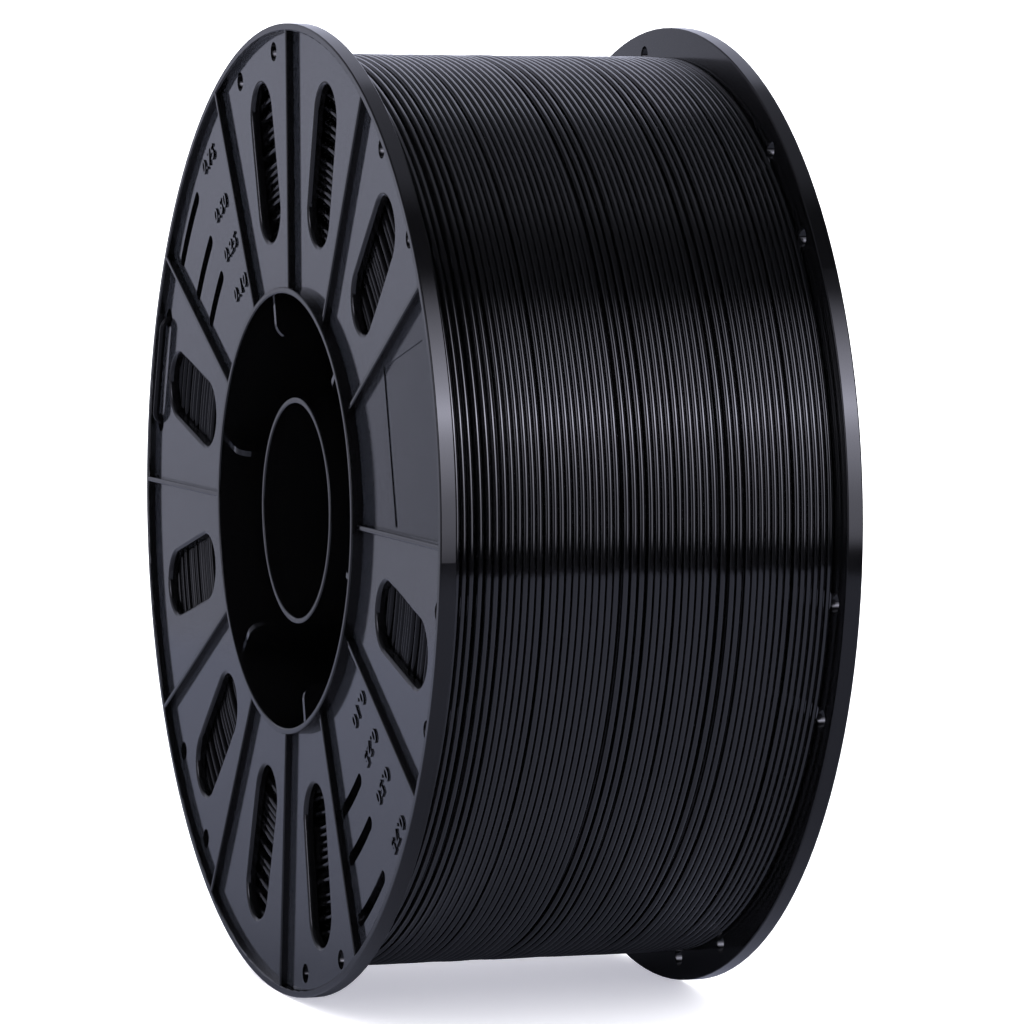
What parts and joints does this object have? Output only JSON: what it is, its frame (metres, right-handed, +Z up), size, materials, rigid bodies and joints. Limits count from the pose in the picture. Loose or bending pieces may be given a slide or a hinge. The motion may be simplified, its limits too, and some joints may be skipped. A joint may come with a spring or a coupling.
{
  "type": "filament spool",
  "caption": "Wide black spool of 3-D printer filament: two ribbed, slotted flanges on a barrel with a through bore, fully wound, loose end tucked into the rim.",
  "frame": {"origin": "centre of the bore, half-way between the two flanges", "axes": "+Y along the bore axis, from the flange that holds the loose end towards the other; +Z up as the spool stands on its rims"},
  "size_m": [0.25, 0.1094, 0.25],
  "materials": {
    "flange_plastic": "black, finely textured satin faces with glossy edges and walls",
    "core_plastic": "black, smooth moulded",
    "filament_black": "black, smooth extruded, semi-gloss"
  },
  "bodies": {
    "root": {"left_flange": "flange_plastic", "right_flange": "flange_plastic", "left_barrel": "core_plastic", "right_barrel": "core_plastic", "hub": "core_plastic", "bore_tube": "core_plastic", "filament_inner_layers": "filament_black", "filament_outer_layer": "filament_black", "filament_tail": "filament_black"}
  },
  "joints": []
}
